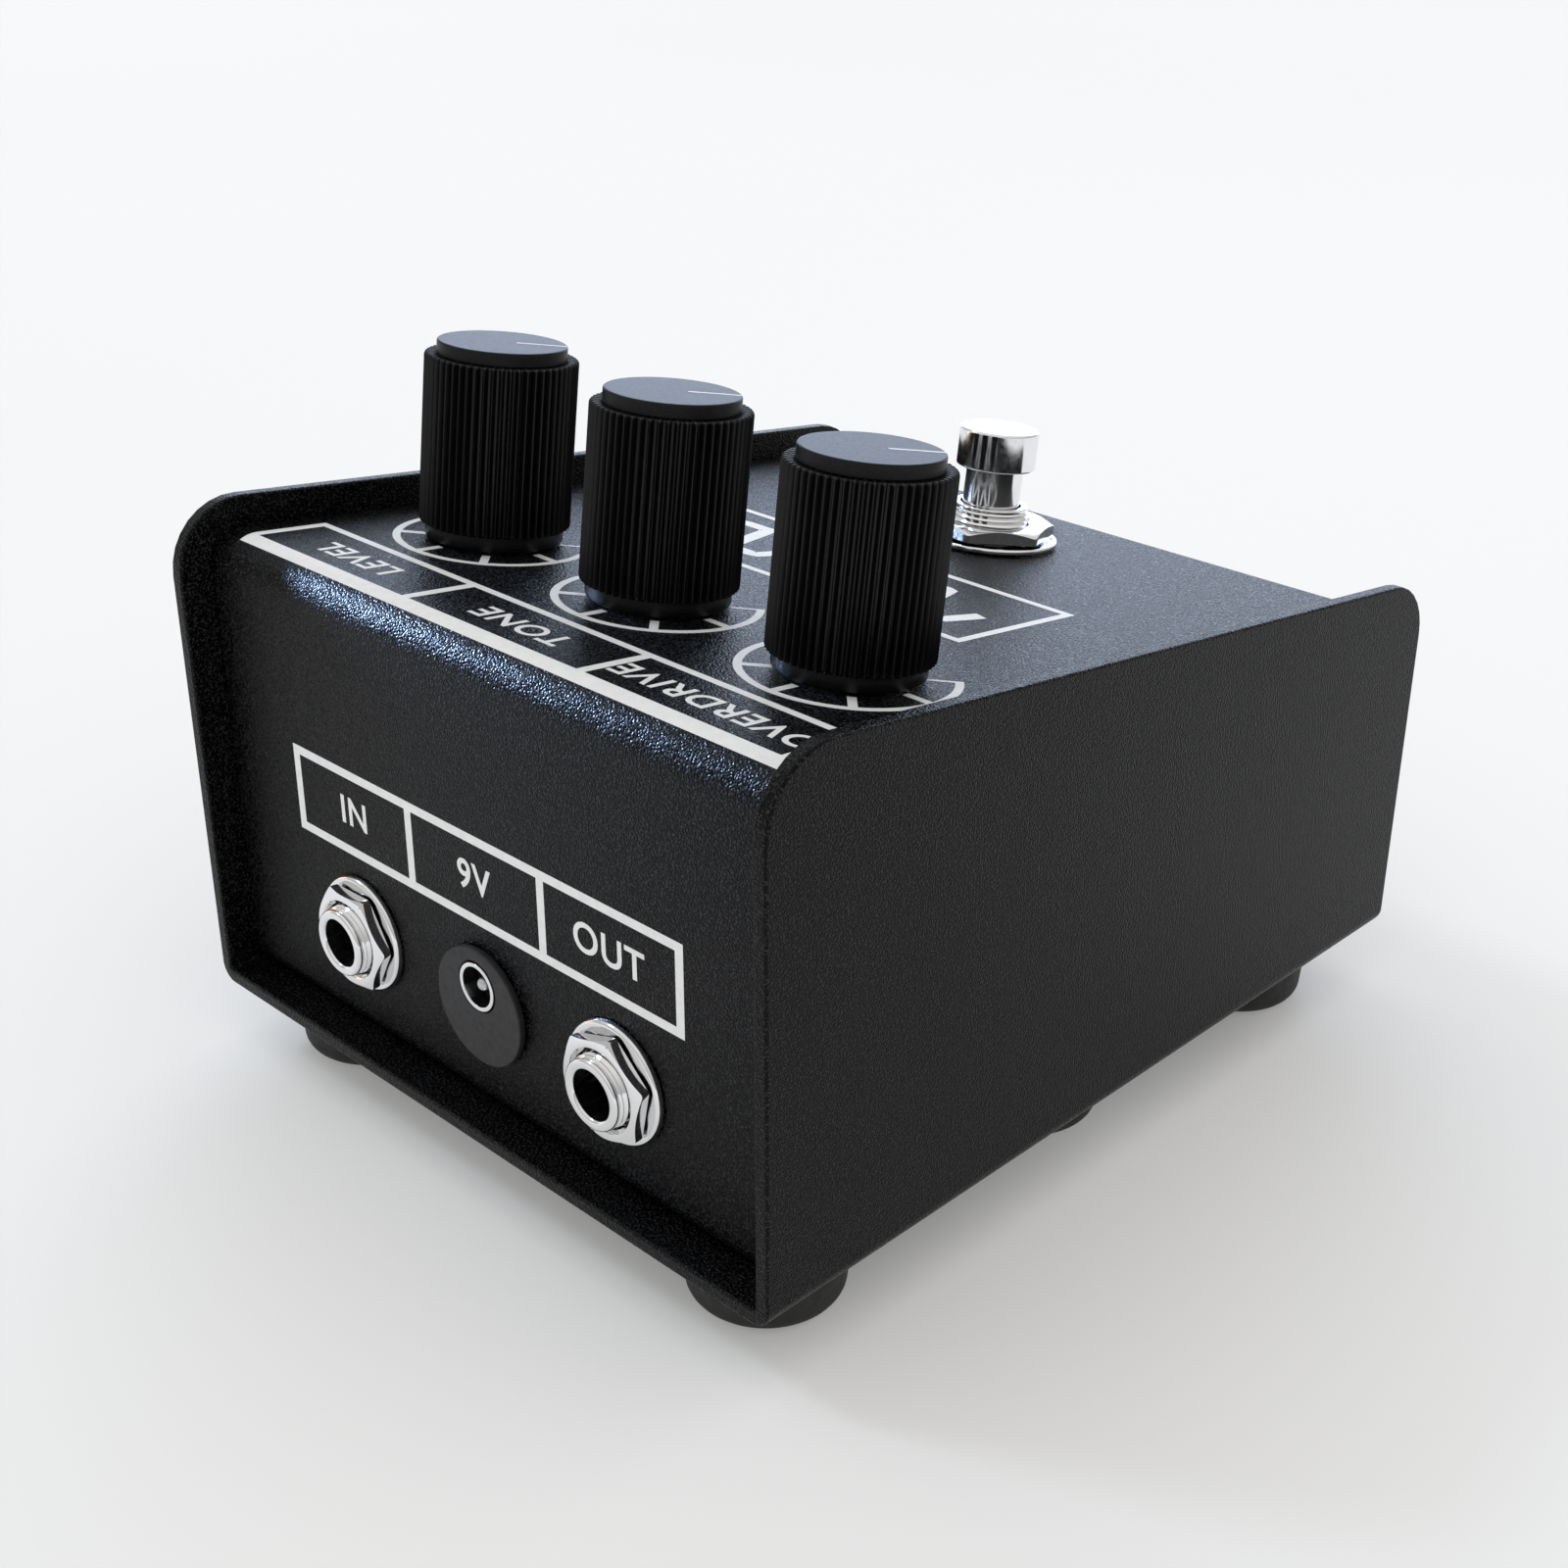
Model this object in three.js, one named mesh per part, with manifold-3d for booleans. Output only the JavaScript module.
// Guitar effects pedal with three knobs, a footswitch, two jacks and a power socket,
// built as the separate pieces that it is assembled from.
//
// Millimetres. +Z is up, +Y is the side with the jacks, -Y is the player's side and
// +X is the input jack's side. The origin is on the floor, under the middle of the case.
//
// The case is two pieces of bent sheet: a tray (bottom and both sides) and a cover
// (rear panel, sloping top and front panel) that sits between the tray's sides.

import * as THREE from 'three';
import { mergeVertices } from 'three/addons/utils/BufferGeometryUtils.js';
import Module from 'manifold-3d';

const wasm = await Module();
wasm.setup();

// ---------------------------------------------------------------- driving dimensions

const CASE_WIDTH = 108;
const CASE_DEPTH = 127.3;
const SHEET = 2;
const GAP = 0.3;
const SLOPE = THREE.MathUtils.degToRad(7.4);

// Tray
const SIDE_REAR_HEIGHT = 70.2;
const SIDE_CORNER_RADIUS = 9;
const SIDE_TOE_RADIUS = 3;
const TRAY_BEND_RADIUS = 2.6;

// Cover
const RECESS = 4.5;
const TOP_BELOW_SIDE = 4.15;
const COVER_BEND_RADIUS = 4.6;
const COVER_FOOT_RADIUS = 2.4;
const FLANGE_DEPTH = 17;

// Feet
const FOOT_HEIGHT = 9.5;
const FOOT_RADIUS_TOP = 10.3;
const FOOT_RADIUS_LOW = 9.6;
const FOOT_ROUNDING = 2.4;
const FOOT_ROWS = {
  rear: { x: 39.3, y: 49.2 },
  middle: { x: 37, y: -2.4 },
  front: { x: 39.5, y: -48 },
};
const SCREW_RADIUS = 1.75;
const SCREW_HEAD_RADIUS = 3.6;
const SCREW_SEAT = 4.6;

// Potentiometers and knobs
const KNOBS = { level: 32.1, tone: 0, overdrive: -32.1 };
const KNOB_ROW = 28.4;
const POT_BUSHING_RADIUS = 4.75;
const POT_CAN_RADIUS = 12;
const POT_CAN_DEPTH = 9.5;
const SHAFT_RADIUS = 3.175;
const KNOB_RIBS = 56;
const KNOB_RADIUS = 9.92;
const KNOB_VALLEY_RADIUS = 9.45;
const KNOB_SKIRT_RADIUS = 9.05;
const KNOB_CAP_RADIUS = 8.37;
const KNOB_BASE = 0.5;
const KNOB_RIBS_FROM = 2.4;
const KNOB_RIBS_TO = 24.2;
const KNOB_CAP_TOP = 26;
const KNOB_HOLLOW_RADIUS = 7.9;
const KNOB_HOLLOW_TOP = 8;

// Rear panel
const JACKS = { in: 24, out: -25.2 };
const JACK_HEIGHT = 17.5;
const JACK_BUSHING_RADIUS = 4.7;
const JACK_BORE_RADIUS = 3.2;
const JACK_LENGTH_OUTSIDE = 4.45;
const JACK_WASHER_RADIUS = 8;
const JACK_NUT_ACROSS = 12.7;
const JACK_NUT_TURN = { in: -28, out: -12 };
const POWER_X = -0.6;
const POWER_DISC_HEIGHT = 17.2;
const POWER_DISC_RADIUS = 8;
const POWER_HOLE_ABOVE_CENTRE = 2.9;
const POWER_BODY_RADIUS = 4.6;

// Footswitch
const SWITCH_X = 0.4;
const SWITCH_Y = -35.5;
const SWITCH_BUSHING_RADIUS = 5.5;
const SWITCH_BUSHING_TOP = 5.4;
const SWITCH_WASHER_RADIUS = 10.1;
const SWITCH_NUT_ACROSS = 17.2;
const SWITCH_NUT_TURN = 22;
const BUTTON_RADIUS = 5.63;
const BUTTON_BOTTOM = 10.7;
const BUTTON_TOP = 16.2;
const STEM_RADIUS = 4.06;

// Fineness of curves
const ROUND = 24;
const ROUND_BORE = 18;
const ROUND_SMALL = 12;
const BEND_STEPS = 5;

// ---------------------------------------------------------------- derived places

const REAR = CASE_DEPTH / 2;
const BOTTOM = FOOT_HEIGHT;
const FLOOR_OF_TRAY = BOTTOM + SHEET;
const PANEL_REAR = REAR - RECESS;
const PANEL_FRONT = -REAR + RECESS;

function sideTop(y) {
  return BOTTOM + SIDE_REAR_HEIGHT - (REAR - y) * Math.tan(SLOPE);
}

function coverTop(y) {
  return sideTop(y) - TOP_BELOW_SIDE;
}

// ---------------------------------------------------------------- materials

function paint(color, roughness, metalness = 0) {
  return () => new THREE.MeshStandardMaterial({ color, roughness, metalness });
}

const POWDER_COAT = paint(0x14161a, 0.75);
const RUBBER = paint(0x101010, 0.9);
const KNOB_PLASTIC = paint(0x0b0b0c, 0.5);
const CAP_PLASTIC = paint(0x17181a, 0.4);
const CHROME = paint(0xd8dade, 0.12, 1);
const ZINC = paint(0x9c9fa3, 0.4, 1);
const BRASS = paint(0xb08a45, 0.35, 1);
const SOCKET_PLASTIC = paint(0x2b2c2e, 0.6);
const SWITCH_PLASTIC = paint(0x1b3f8a, 0.5);
const BOARD_GREEN = paint(0x1d4a2a, 0.5);
const CHIP_BLACK = paint(0x151515, 0.5);
const CAPACITOR_SLEEVE = paint(0x1f2c4d, 0.45);
const BATTERY_SLEEVE = paint(0x5d6066, 0.35, 0.4);
const CLIP_VINYL = paint(0x141414, 0.6);
const WIRE_RED = paint(0x9c1a1a, 0.5);
const WIRE_BLACK = paint(0x121212, 0.5);

// ---------------------------------------------------------------- solids

// Turns a closed three.js geometry into a solid that can be joined and cut.
function solid(geometry) {
  geometry.deleteAttribute('normal');
  geometry.deleteAttribute('uv');
  const merged = mergeVertices(geometry, 1e-4);
  const index = merged.index.array;
  const triangles = [];
  for (let i = 0; i < index.length; i += 3) {
    const [a, b, c] = [index[i], index[i + 1], index[i + 2]];
    if (a !== b && b !== c && c !== a) triangles.push(a, b, c);
  }
  return new wasm.Manifold(new wasm.Mesh({
    numProp: 3,
    vertProperties: merged.attributes.position.array,
    triVerts: new Uint32Array(triangles),
  }));
}

function geometryOf(shape) {
  const mesh = shape.getMesh();
  const geometry = new THREE.BufferGeometry();
  geometry.setAttribute('position', new THREE.BufferAttribute(mesh.vertProperties, 3));
  geometry.setIndex(new THREE.BufferAttribute(mesh.triVerts, 1));
  geometry.computeVertexNormals();
  return geometry;
}

function joined(...solids) {
  return solids.reduce((sum, next) => sum.add(next));
}

// A profile of [radius, height] points turned about Z. The profile runs up its outer side.
function turned(profile, segments = ROUND) {
  const points = profile.map(([radius, height]) => new THREE.Vector2(radius, height));
  return new THREE.LatheGeometry(points, segments).rotateX(Math.PI / 2);
}

function rod(radius, from, to, segments = ROUND) {
  return turned([[0, from], [radius, from], [radius, to], [0, to]], segments);
}

function ring(inner, outer, from, to, segments = ROUND) {
  return turned([[inner, from], [outer, from], [outer, to], [inner, to], [inner, from]], segments);
}

// A box given by its lowest and highest corners.
function block([x0, y0, z0], [x1, y1, z1]) {
  const box = new THREE.BoxGeometry(x1 - x0, y1 - y0, z1 - z0);
  return box.translate((x0 + x1) / 2, (y0 + y1) / 2, (z0 + z1) / 2);
}

// A prism of a shape drawn in the Y-Z plane, centred across X.
function acrossX(shape, width) {
  const prism = new THREE.ExtrudeGeometry(shape, { depth: width, bevelEnabled: false });
  prism.translate(0, 0, -width / 2);
  const turn = new THREE.Matrix4().makeBasis(
    new THREE.Vector3(0, 1, 0), new THREE.Vector3(0, 0, 1), new THREE.Vector3(1, 0, 0));
  return prism.applyMatrix4(turn);
}

// A prism of a shape drawn in the X-Z plane, centred along Y.
function alongY(shape, depth) {
  const prism = new THREE.ExtrudeGeometry(shape, { depth, bevelEnabled: false });
  return prism.translate(0, 0, -depth / 2).rotateX(Math.PI / 2);
}

function direction(from, to) {
  return to.clone().sub(from).normalize();
}

// Which way a path turns at a corner: 1 to the left, -1 to the right.
function turnAt(before, corner, after) {
  return Math.sign(direction(before, corner).cross(direction(corner, after)));
}

// The normal of a straight run of a path, on the side that the path turns towards.
function inwardNormal(from, to, turn) {
  const along = direction(from, to);
  return new THREE.Vector2(-along.y, along.x).multiplyScalar(turn);
}

// The points of a bend at a corner: the outer ones at the radius, the inner ones a sheet less.
function bendPoints(before, corner, after, radius) {
  const turn = turnAt(before, corner, after);
  const arriving = direction(before, corner);
  const angle = arriving.angleTo(direction(corner, after));
  const inward = inwardNormal(before, corner, turn);
  const centre = corner.clone()
    .addScaledVector(arriving, -radius * Math.tan(angle / 2))
    .addScaledVector(inward, radius);
  const outer = [];
  const inner = [];
  for (let step = 0; step <= BEND_STEPS; step += 1) {
    const swing = (turn * angle * step) / BEND_STEPS;
    const spoke = inward.clone().negate().rotateAround(new THREE.Vector2(), swing);
    outer.push(centre.clone().addScaledVector(spoke, radius));
    inner.push(centre.clone().addScaledVector(spoke, radius - SHEET));
  }
  return { outer, inner };
}

// The section of a bent sheet whose bends all turn the same way. The corners are those of
// its outer face, and each bend has its outer radius.
function bentSheet(corners, radii) {
  const points = corners.map(([x, y]) => new THREE.Vector2(x, y));
  const [first, second, third] = points;
  const [beforeLast, last] = points.slice(-2);
  const turn = turnAt(first, second, third);
  const outer = [first];
  const inner = [first.clone().addScaledVector(inwardNormal(first, second, turn), SHEET)];
  radii.forEach((radius, i) => {
    const bend = bendPoints(points[i], points[i + 1], points[i + 2], radius);
    outer.push(...bend.outer);
    inner.push(...bend.inner);
  });
  outer.push(last);
  inner.push(last.clone().addScaledVector(inwardNormal(beforeLast, last, turn), SHEET));
  return new THREE.Shape([...outer, ...inner.reverse()]);
}

// A polygon whose corners are rounded. A radius of 0 leaves a corner sharp.
function roundedPolygon(corners) {
  const points = corners.map(([x, y]) => new THREE.Vector2(x, y));
  const outline = corners.flatMap(([, , radius], i) => {
    if (!radius) return [points[i]];
    const before = points[(i + points.length - 1) % points.length];
    const after = points[(i + 1) % points.length];
    return bendPoints(before, points[i], after, radius).outer;
  });
  return new THREE.Shape(outline);
}

// A hexagon nut or prism standing on Z, with its outer corners chamfered on the top face.
function hexagon(acrossFlats, from, to, boreRadius, chamfer = 0.8) {
  const cornerRadius = acrossFlats / 2 / Math.cos(Math.PI / 6);
  const prism = solid(rod(cornerRadius, from, to, 6));
  const crown = solid(turned([
    [0, from], [cornerRadius + 1, from], [cornerRadius + 1, to - chamfer],
    [cornerRadius, to - chamfer], [acrossFlats / 2 - 0.1, to], [0, to],
  ], ROUND_BORE));
  return prism.intersect(crown).subtract(solid(rod(boreRadius, from - 1, to + 1, ROUND_BORE)));
}

// ---------------------------------------------------------------- placing

const pedal = new THREE.Group();

function add(name, shape, material, parent = pedal) {
  const mesh = new THREE.Mesh(geometryOf(shape), material());
  mesh.name = name;
  parent.add(mesh);
  return mesh;
}

function groupAt(x, y, z, tilt = 0) {
  const group = new THREE.Group();
  group.position.set(x, y, z);
  group.rotation.x = tilt;
  pedal.add(group);
  group.updateMatrixWorld();
  return group;
}

// A group on the cover's sloping top, with its own Z square to the top.
function onTop(x, y) {
  return groupAt(x, y, coverTop(y), SLOPE);
}

// A group on the rear panel, with its own Z pointing out of the panel.
function onRearPanel(x, heightAboveTray) {
  return groupAt(x, PANEL_REAR, BOTTOM + heightAboveTray, -Math.PI / 2);
}

// A round hole through the sheet that a group stands on.
function holeIn(group, radius) {
  const cutter = rod(radius, -4 * SHEET, 2 * SHEET, ROUND_BORE);
  return solid(cutter.applyMatrix4(group.matrixWorld));
}

const knobPlaces = Object.fromEntries(
  Object.entries(KNOBS).map(([name, x]) => [name, onTop(x, KNOB_ROW)]));
const switchPlace = onTop(SWITCH_X, SWITCH_Y);
const jackPlaces = Object.fromEntries(
  Object.entries(JACKS).map(([name, x]) => [name, onRearPanel(x, JACK_HEIGHT)]));
const powerPlace = onRearPanel(POWER_X, POWER_DISC_HEIGHT + POWER_HOLE_ABOVE_CENTRE);

const footPlaces = [];
for (const [row, { x, y }] of Object.entries(FOOT_ROWS)) {
  footPlaces.push({ name: `${row}_left`, x: -x, y, row });
  footPlaces.push({ name: `${row}_right`, x, y, row });
}

// ---------------------------------------------------------------- case

function screwHoles(radius, rows) {
  return joined(...footPlaces
    .filter(({ row }) => rows.includes(row))
    .map(({ x, y }) => solid(
      rod(radius, BOTTOM - 1, FLOOR_OF_TRAY + 2 * SHEET, ROUND_SMALL).translate(x, y, 0))));
}

function makeTray() {
  const half = CASE_WIDTH / 2;
  const tall = BOTTOM + SIDE_REAR_HEIGHT + 1;
  const channel = bentSheet(
    [[-half, tall], [-half, BOTTOM], [half, BOTTOM], [half, tall]],
    [TRAY_BEND_RADIUS, TRAY_BEND_RADIUS]);
  const sideOutline = roundedPolygon([
    [-REAR, BOTTOM, SIDE_TOE_RADIUS],
    [REAR, BOTTOM, 0],
    [REAR, sideTop(REAR), SIDE_CORNER_RADIUS],
    [-REAR, sideTop(-REAR), SIDE_CORNER_RADIUS],
  ]);
  return solid(alongY(channel, CASE_DEPTH + 2))
    .intersect(solid(acrossX(sideOutline, CASE_WIDTH + 2)))
    .subtract(screwHoles(SCREW_RADIUS + GAP, Object.keys(FOOT_ROWS)));
}

function makeCover() {
  const low = FLOOR_OF_TRAY + GAP;
  const section = bentSheet(
    [
      [PANEL_FRONT + FLANGE_DEPTH, low],
      [PANEL_FRONT, low],
      [PANEL_FRONT, coverTop(PANEL_FRONT)],
      [PANEL_REAR, coverTop(PANEL_REAR)],
      [PANEL_REAR, low],
      [PANEL_REAR - FLANGE_DEPTH, low],
    ],
    [COVER_FOOT_RADIUS, COVER_BEND_RADIUS, COVER_BEND_RADIUS, COVER_FOOT_RADIUS]);
  const width = CASE_WIDTH - 2 * (SHEET + GAP);
  const holes = joined(
    ...Object.values(knobPlaces).map((place) => holeIn(place, POT_BUSHING_RADIUS + GAP)),
    ...Object.values(jackPlaces).map((place) => holeIn(place, JACK_BUSHING_RADIUS + GAP)),
    holeIn(switchPlace, SWITCH_BUSHING_RADIUS + GAP),
    holeIn(powerPlace, POWER_BODY_RADIUS + GAP),
    screwHoles(SCREW_RADIUS + GAP, ['rear', 'front']));
  return solid(acrossX(section, width)).subtract(holes);
}

add('base_tray', makeTray(), POWDER_COAT);
add('cover', makeCover(), POWDER_COAT);

// ---------------------------------------------------------------- feet and their screws

function makeFoot() {
  const top = FOOT_HEIGHT - GAP;
  const outline = [[SCREW_RADIUS + GAP, SCREW_SEAT], [SCREW_HEAD_RADIUS + 0.6, SCREW_SEAT]];
  outline.push([SCREW_HEAD_RADIUS + 0.6, 0]);
  const steps = 2;
  for (let step = 0; step <= steps; step += 1) {
    const angle = (step / steps) * (Math.PI / 2);
    outline.push([
      FOOT_RADIUS_LOW - FOOT_ROUNDING + FOOT_ROUNDING * Math.sin(angle),
      FOOT_ROUNDING - FOOT_ROUNDING * Math.cos(angle),
    ]);
  }
  outline.push([FOOT_RADIUS_TOP, top], [SCREW_RADIUS + GAP, top], outline[0]);
  return solid(turned(outline));
}

function makeFootScrew(tip) {
  const headTop = SCREW_SEAT - GAP;
  const headBottom = headTop - 2.2;
  const body = solid(turned([
    [0, headBottom], [SCREW_HEAD_RADIUS - 0.9, headBottom], [SCREW_HEAD_RADIUS, headBottom + 0.9],
    [SCREW_HEAD_RADIUS, headTop], [SCREW_RADIUS, headTop], [SCREW_RADIUS, tip - 1],
    [SCREW_RADIUS - 0.8, tip], [0, tip],
  ], ROUND_SMALL));
  const slotReach = 2.2;
  const slotHalf = 0.45;
  const slotTop = headBottom + 1.1;
  const cross = joined(
    solid(block([-slotReach, -slotHalf, headBottom - 1], [slotReach, slotHalf, slotTop])),
    solid(block([-slotHalf, -slotReach, headBottom - 1], [slotHalf, slotReach, slotTop])));
  return body.subtract(cross);
}

const FLANGE_TOP = FLOOR_OF_TRAY + GAP + SHEET;
for (const { name, x, y, row } of footPlaces) {
  const place = groupAt(x, y, 0);
  const tip = row === 'middle' ? FLOOR_OF_TRAY + 5 : FLANGE_TOP + 2.5;
  add(`foot_${name}`, makeFoot(), RUBBER, place);
  add(`foot_screw_${name}`, makeFootScrew(tip), ZINC, place);
  if (row === 'middle') {
    const nut = hexagon(7, FLOOR_OF_TRAY + GAP, FLOOR_OF_TRAY + 3, SCREW_RADIUS + GAP, 0.5);
    add(`foot_nut_${name}`, nut, ZINC, place);
  }
}

// ---------------------------------------------------------------- potentiometers and knobs

function makePot() {
  const underside = -SHEET - GAP;
  const canBottom = underside - POT_CAN_DEPTH;
  const bore = SHAFT_RADIUS + GAP;
  const bushingTop = 6.4;
  const can = solid(turned([
    [0, canBottom], [POT_CAN_RADIUS - 0.8, canBottom], [POT_CAN_RADIUS, canBottom + 0.8],
    [POT_CAN_RADIUS, underside], [POT_BUSHING_RADIUS, underside],
    [POT_BUSHING_RADIUS, bushingTop], [bore, bushingTop], [bore, canBottom + 2],
    [0, canBottom + 2],
  ]));
  const pinSpacing = 5;
  const pins = [-1, 0, 1].map((i) => solid(block(
    [i * pinSpacing - 0.6, -10.2, canBottom - 1.7],
    [i * pinSpacing + 0.6, -9.4, canBottom + 1])));
  return joined(can, ...pins);
}

function makeShaft() {
  const bottom = -SHEET - GAP - POT_CAN_DEPTH + 2 + GAP;
  const top = 19;
  const round = solid(rod(SHAFT_RADIUS, bottom, top, ROUND_BORE));
  const flatDepth = 1.6;
  const flat = solid(block(
    [-SHAFT_RADIUS - 1, SHAFT_RADIUS - flatDepth, KNOB_HOLLOW_TOP + 1],
    [SHAFT_RADIUS + 1, SHAFT_RADIUS + 1, top + 1]));
  return round.subtract(flat);
}

function ribbedOutline() {
  const points = [];
  for (let rib = 0; rib < KNOB_RIBS; rib += 1) {
    for (const [share, radius] of [[0, KNOB_RADIUS], [0.5, KNOB_VALLEY_RADIUS]]) {
      const angle = ((rib + share) / KNOB_RIBS) * 2 * Math.PI;
      points.push(new THREE.Vector2(radius * Math.cos(angle), radius * Math.sin(angle)));
    }
  }
  return new THREE.Shape(points);
}

function makeKnob() {
  const ribs = new THREE.ExtrudeGeometry(ribbedOutline(), {
    depth: KNOB_RIBS_TO - KNOB_RIBS_FROM, bevelEnabled: false,
  }).translate(0, 0, KNOB_RIBS_FROM);
  const skirt = rod(KNOB_SKIRT_RADIUS, KNOB_BASE, KNOB_RIBS_FROM + 1);
  const bore = SHAFT_RADIUS + GAP;
  const hollow = turned([
    [0, KNOB_BASE - 1], [KNOB_HOLLOW_RADIUS, KNOB_BASE - 1], [KNOB_HOLLOW_RADIUS, KNOB_HOLLOW_TOP],
    [bore, KNOB_HOLLOW_TOP], [bore, 19.5], [0, 19.5],
  ], ROUND_BORE);
  return solid(ribs).add(solid(skirt)).subtract(solid(hollow));
}

function makeKnobCap() {
  const edge = 0.3;
  return solid(turned([
    [0, KNOB_RIBS_TO + GAP / 2], [KNOB_CAP_RADIUS, KNOB_RIBS_TO + GAP / 2],
    [KNOB_CAP_RADIUS, KNOB_CAP_TOP - edge], [KNOB_CAP_RADIUS - edge, KNOB_CAP_TOP],
    [0, KNOB_CAP_TOP],
  ]));
}

for (const [name, place] of Object.entries(knobPlaces)) {
  add(`${name}_pot`, makePot(), ZINC, place);
  add(`${name}_pot_washer`, solid(
    ring(POT_BUSHING_RADIUS + GAP, 7.2, GAP, 1, ROUND_BORE)), ZINC, place);
  add(`${name}_pot_nut`, hexagon(12.7, 1 + GAP, 3.6, POT_BUSHING_RADIUS + GAP), ZINC, place);
  add(`${name}_shaft`, makeShaft(), BRASS, place);
  add(`${name}_knob`, makeKnob(), KNOB_PLASTIC, place);
  add(`${name}_knob_cap`, makeKnobCap(), CAP_PLASTIC, place);
}

// ---------------------------------------------------------------- circuit board

const BOARD_TOP = -SHEET - GAP - POT_CAN_DEPTH - 1.7 - GAP;
const BOARD_THICKNESS = 1.6;
const BOARD_UNDERSIDE = BOARD_TOP - BOARD_THICKNESS;
const boardPlace = knobPlaces.tone;

function makeBoard() {
  return solid(block([-46, -30, BOARD_UNDERSIDE], [46, 12, BOARD_TOP]));
}

function makeChip() {
  const top = BOARD_UNDERSIDE - 1;
  const pitch = 2.54;
  const body = solid(block([-4.9, -23.2, top - 3.3], [4.9, -16.8, top]));
  const legs = [];
  for (let i = 0; i < 4; i += 1) {
    const x = (i - 1.5) * pitch;
    for (const side of [-1, 1]) {
      const y = -20 + side * 3.3;
      legs.push(solid(block([x - 0.3, y - 0.4, top - 2], [x + 0.3, y + 0.4, BOARD_UNDERSIDE - GAP])));
    }
  }
  return joined(body, ...legs);
}

function makeCapacitor(x, y, radius, height) {
  const base = BOARD_UNDERSIDE - GAP;
  return solid(turned([
    [0, base - height], [radius - 0.4, base - height], [radius, base - height + 0.4],
    [radius, base], [0, base],
  ], ROUND_SMALL).translate(x, y, 0));
}

add('circuit_board', makeBoard(), BOARD_GREEN, boardPlace);
add('op_amp', makeChip(), CHIP_BLACK, boardPlace);
add('capacitor_large', makeCapacitor(16, -20, 4, 11), CAPACITOR_SLEEVE, boardPlace);
add('capacitor_small', makeCapacitor(-15, -20, 2.5, 7), CAPACITOR_SLEEVE, boardPlace);

// ---------------------------------------------------------------- jacks

const JACK_FRAME_BACK = -27;

// The bushing with the strap that runs back beside the plug and earths its sleeve.
function makeJackFrame() {
  const behind = -SHEET - GAP;
  const bushing = solid(turned([
    [JACK_BORE_RADIUS, behind - 1.6], [7.6, behind - 1.6], [7.6, behind],
    [JACK_BUSHING_RADIUS, behind], [JACK_BUSHING_RADIUS, JACK_LENGTH_OUTSIDE - 0.6],
    [JACK_BUSHING_RADIUS - 0.6, JACK_LENGTH_OUTSIDE], [JACK_BORE_RADIUS + 0.3, JACK_LENGTH_OUTSIDE],
    [JACK_BORE_RADIUS, JACK_LENGTH_OUTSIDE - 0.3], [JACK_BORE_RADIUS, behind - 1.6],
  ]));
  const strap = solid(block([-4, 6.2, JACK_FRAME_BACK], [4, 7.4, behind - 0.8]));
  const end = solid(block([-4, -7.4, JACK_FRAME_BACK - 1.2], [4, 7.4, JACK_FRAME_BACK]));
  return joined(bushing, strap, end);
}

// The contact that presses on the plug's tip.
function makeTipContact() {
  const thickness = 0.5;
  const root = JACK_FRAME_BACK + GAP;
  const path = [[-6.8, root], [-6.8, root + 14], [-4.2, root + 17], [-5.4, root + 20]];
  const outline = path.concat([...path].reverse().map(([u, v]) => [u + thickness, v]));
  const shape = new THREE.Shape(outline.map(([u, v]) => new THREE.Vector2(u, v)));
  return solid(acrossX(shape, 3));
}

for (const [name, place] of Object.entries(jackPlaces)) {
  const washerHole = JACK_BUSHING_RADIUS + GAP;
  add(`${name}_jack_frame`, makeJackFrame(), CHROME, place);
  add(`${name}_jack_tip_contact`, makeTipContact(), ZINC, place);
  add(`${name}_jack_washer`, solid(turned([
    [washerHole, 0.1], [JACK_WASHER_RADIUS, 0.1], [JACK_WASHER_RADIUS, 0.7],
    [JACK_WASHER_RADIUS - 0.4, 1.1], [washerHole, 1.1], [washerHole, 0.1],
  ])), CHROME, place);
  const nut = add(`${name}_jack_nut`, hexagon(JACK_NUT_ACROSS, 1.3, 3, washerHole), CHROME, place);
  nut.rotation.z = THREE.MathUtils.degToRad(JACK_NUT_TURN[name]);
}

// ---------------------------------------------------------------- power socket

const POWER_SLEEVE_OUTER = 3.15;
const POWER_SLEEVE_INNER = 2.75;
const POWER_DEPTH = 12;

// The plastic socket: a wide disc outside the panel, with its hole above the disc's centre,
// and a round threaded body through the panel.
function makePowerSocket() {
  const disc = rod(POWER_DISC_RADIUS, 0.15, 1.1).translate(0, POWER_HOLE_ABOVE_CENTRE, 0);
  const body = rod(POWER_BODY_RADIUS, -POWER_DEPTH, 0.5, ROUND_BORE);
  const hole = rod(POWER_SLEEVE_OUTER + GAP, -POWER_DEPTH + 2, 2, ROUND_BORE);
  return solid(disc).add(solid(body)).subtract(solid(hole));
}

add('power_socket', makePowerSocket(), SOCKET_PLASTIC, powerPlace);
add('power_socket_sleeve', solid(ring(
  POWER_SLEEVE_INNER, POWER_SLEEVE_OUTER, -POWER_DEPTH + 2 + GAP, 1, ROUND_BORE)),
CHROME, powerPlace);
add('power_socket_pin', solid(turned([
  [0, -POWER_DEPTH + 2 + GAP], [1, -POWER_DEPTH + 2 + GAP], [1, -0.6], [0.5, 0], [0, 0],
], ROUND_SMALL)), CHROME, powerPlace);
add('power_socket_nut',
  hexagon(12, -SHEET - GAP - 2, -SHEET - GAP, POWER_BODY_RADIUS + GAP, 0.4), ZINC, powerPlace);

// ---------------------------------------------------------------- footswitch

const SWITCH_BORE = STEM_RADIUS + GAP;
const SWITCH_HOUSING_TOP = -SHEET - GAP - 1;

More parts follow.
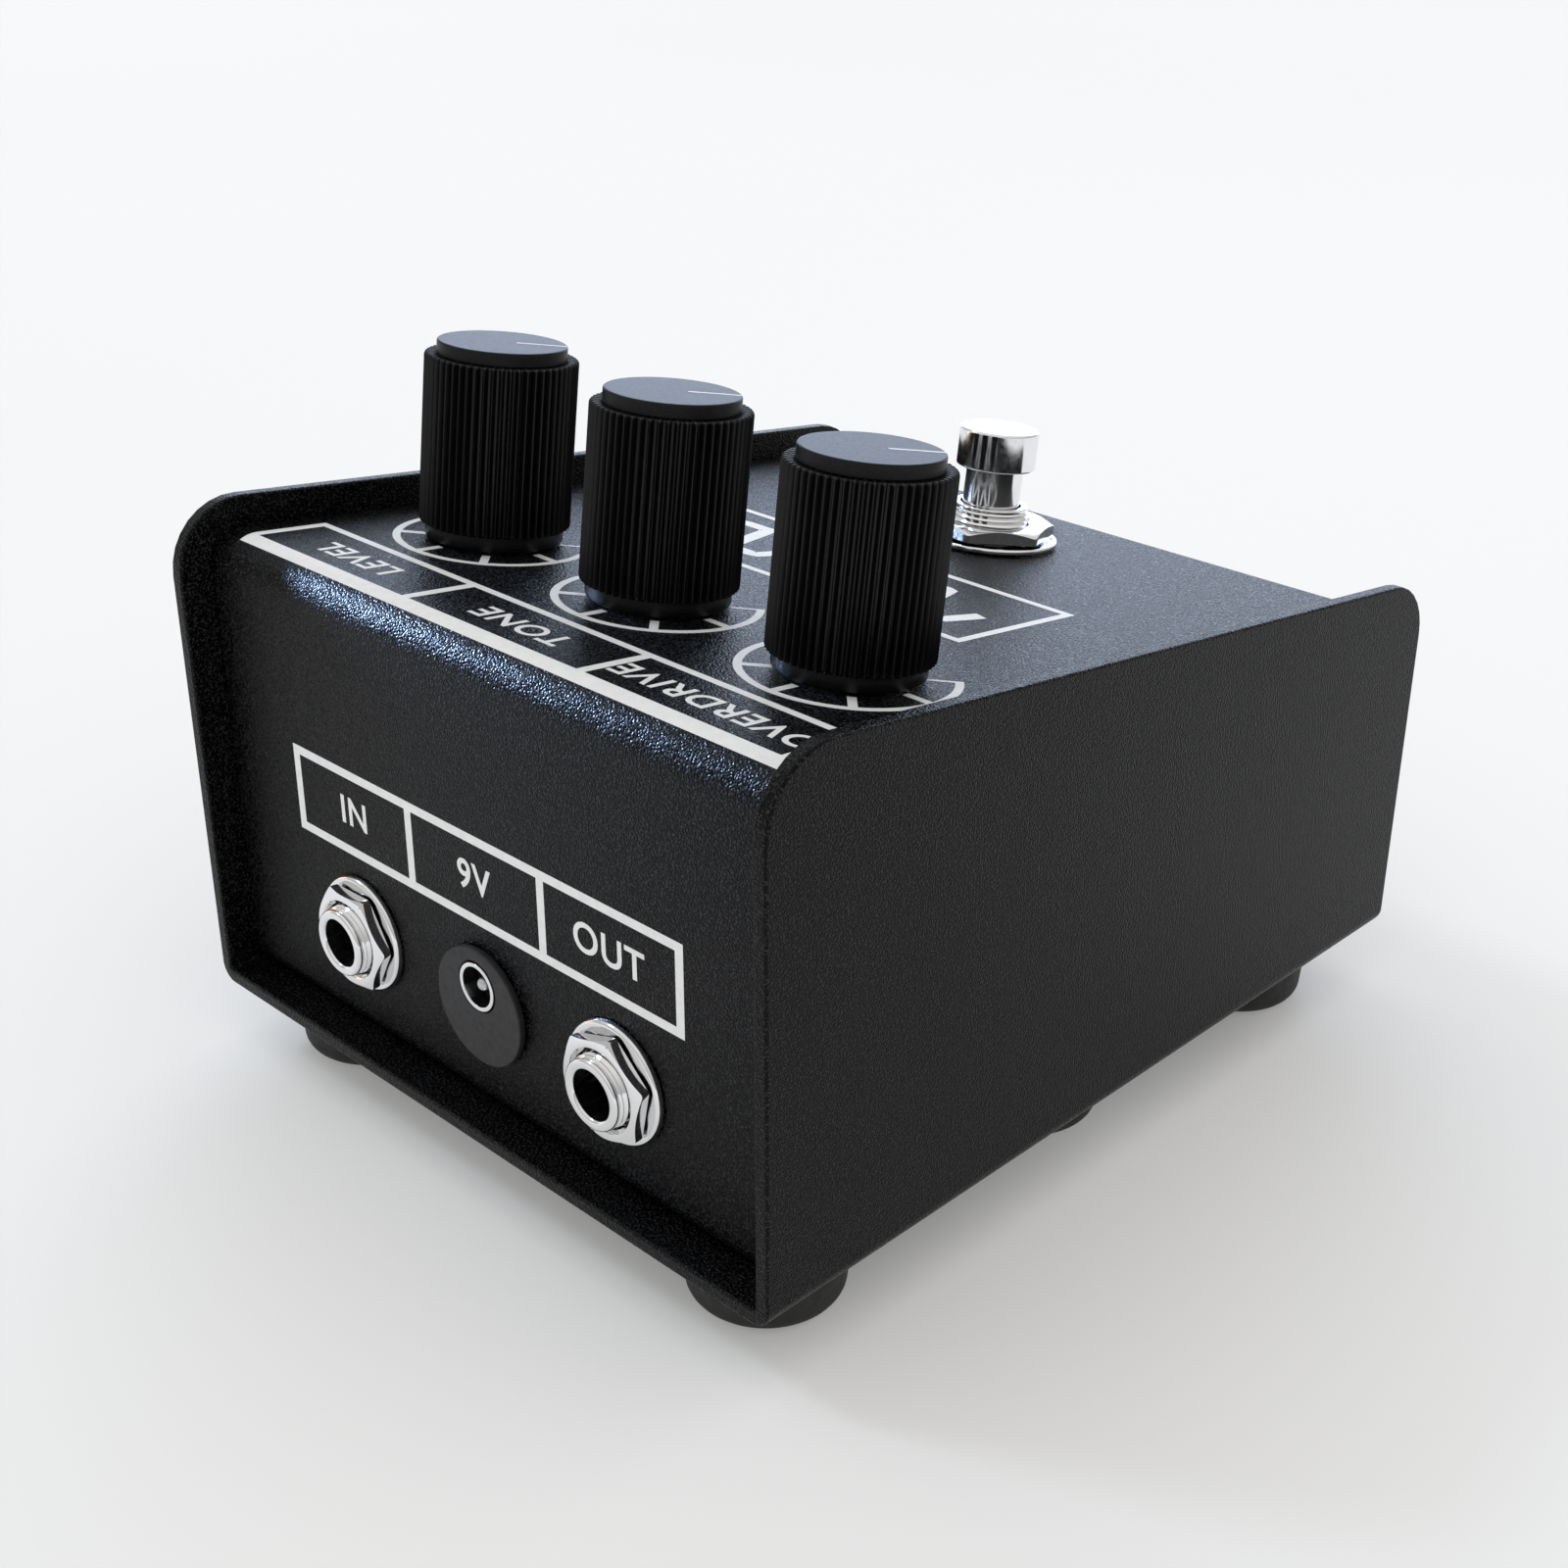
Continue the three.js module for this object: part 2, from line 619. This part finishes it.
function makeSwitchHousing() {
  const half = 8.6;
  const bottom = SWITCH_HOUSING_TOP - 13;
  const box = solid(block([-half, -half, bottom], [half, half, SWITCH_HOUSING_TOP]));
  const well = solid(rod(SWITCH_BORE, bottom + 3, SWITCH_HOUSING_TOP + 1, ROUND_BORE));
  const lugs = [];
  for (const x of [-5, 0, 5]) {
    for (const y of [-5, 0, 5]) {
      lugs.push(solid(block([x - 0.9, y - 0.4, bottom - 4], [x + 0.9, y + 0.4, bottom + 1])));
    }
  }
  return joined(box.subtract(well), ...lugs);
}

function makeSwitchBushing() {
  const base = SWITCH_HOUSING_TOP + GAP;
  const shoulder = -SHEET - GAP;
  return solid(turned([
    [SWITCH_BORE, base], [8, base], [8, shoulder], [SWITCH_BUSHING_RADIUS, shoulder],
    [SWITCH_BUSHING_RADIUS, SWITCH_BUSHING_TOP - 0.6],
    [SWITCH_BUSHING_RADIUS - 0.6, SWITCH_BUSHING_TOP], [SWITCH_BORE, SWITCH_BUSHING_TOP],
    [SWITCH_BORE, base],
  ]));
}

function makeButton() {
  const edge = 0.35;
  const stemBottom = SWITCH_HOUSING_TOP - 5;
  return solid(turned([
    [0, stemBottom], [STEM_RADIUS, stemBottom], [STEM_RADIUS, BUTTON_BOTTOM],
    [BUTTON_RADIUS - edge, BUTTON_BOTTOM], [BUTTON_RADIUS, BUTTON_BOTTOM + edge],
    [BUTTON_RADIUS, BUTTON_TOP - edge], [BUTTON_RADIUS - edge, BUTTON_TOP], [0, BUTTON_TOP],
  ]));
}

const switchHole = SWITCH_BUSHING_RADIUS + GAP;
add('footswitch_housing', makeSwitchHousing(), SWITCH_PLASTIC, switchPlace);
add('footswitch_bushing', makeSwitchBushing(), CHROME, switchPlace);
add('footswitch_washer', solid(
  ring(switchHole, SWITCH_WASHER_RADIUS, GAP, 1)), CHROME, switchPlace);
const switchNut = hexagon(SWITCH_NUT_ACROSS, 1 + GAP, 3.2, switchHole, 1);
add('footswitch_nut', switchNut, CHROME, switchPlace)
  .rotation.z = THREE.MathUtils.degToRad(SWITCH_NUT_TURN);
add('footswitch_button', makeButton(), CHROME, switchPlace);

// ---------------------------------------------------------------- battery

const BATTERY = { length: 46, width: 26, height: 17, x: -2, y: -27 };

function makeBattery() {
  const { length, width, height } = BATTERY;
  const outline = roundedPolygon([
    [-width / 2, 0, 2], [width / 2, 0, 2], [width / 2, height, 2], [-width / 2, height, 2],
  ]);
  const can = solid(acrossX(outline, length));
  const terminals = [-1, 1].map((side) => {
    const stud = rod(3, 0, 2, ROUND_SMALL).rotateY(Math.PI / 2);
    return solid(stud.translate(length / 2 - 0.5, side * 6.35, height / 2));
  });
  return joined(can, ...terminals);
}

// The snap-on clip covers the battery's two terminals.
function makeBatteryClip() {
  const { length, width, height } = BATTERY;
  const x = length / 2 + GAP;
  const plate = solid(block([x, 1 - width / 2, 1.5], [x + 3.6, width / 2 - 1, height - 1.5]));
  const sockets = [-1, 1].map((side) => {
    const well = rod(3 + GAP, -1, 1.9, ROUND_SMALL).rotateY(Math.PI / 2);
    return solid(well.translate(x, side * 6.35, height / 2));
  });
  return plate.subtract(joined(...sockets));
}

const batteryPlace = groupAt(BATTERY.x, BATTERY.y, FLOOR_OF_TRAY + GAP);
add('battery', makeBattery(), BATTERY_SLEEVE, batteryPlace);
add('battery_clip', makeBatteryClip(), CLIP_VINYL, batteryPlace);

// The two leads rise from the clip to the underside of the circuit board.
function makeLead(y, landingX) {
  const start = new THREE.Vector3(BATTERY.x + BATTERY.length / 2 + GAP + 3.6 + GAP, BATTERY.y + y,
    FLOOR_OF_TRAY + 9);
  const landing = new THREE.Vector3(landingX, -24, BOARD_UNDERSIDE - GAP)
    .applyMatrix4(boardPlace.matrixWorld);
  const route = new THREE.CatmullRomCurve3([
    start,
    start.clone().add(new THREE.Vector3(5, 0.5, 1)),
    new THREE.Vector3(start.x + 7, start.y + 8, start.z + 12),
    new THREE.Vector3(landing.x + 3, landing.y - 3, landing.z - 12),
    landing.clone().add(new THREE.Vector3(0, 0, -4)),
    landing,
  ]);
  const section = new THREE.Shape();
  section.absarc(0, 0, 0.7, 0, 2 * Math.PI);
  return solid(new THREE.ExtrudeGeometry(section, {
    steps: 14, extrudePath: route, curveSegments: 3, bevelEnabled: false,
  }));
}

add('battery_lead_red', makeLead(5, 30), WIRE_RED);
add('battery_lead_black', makeLead(-5, 36), WIRE_BLACK);

export default pedal;
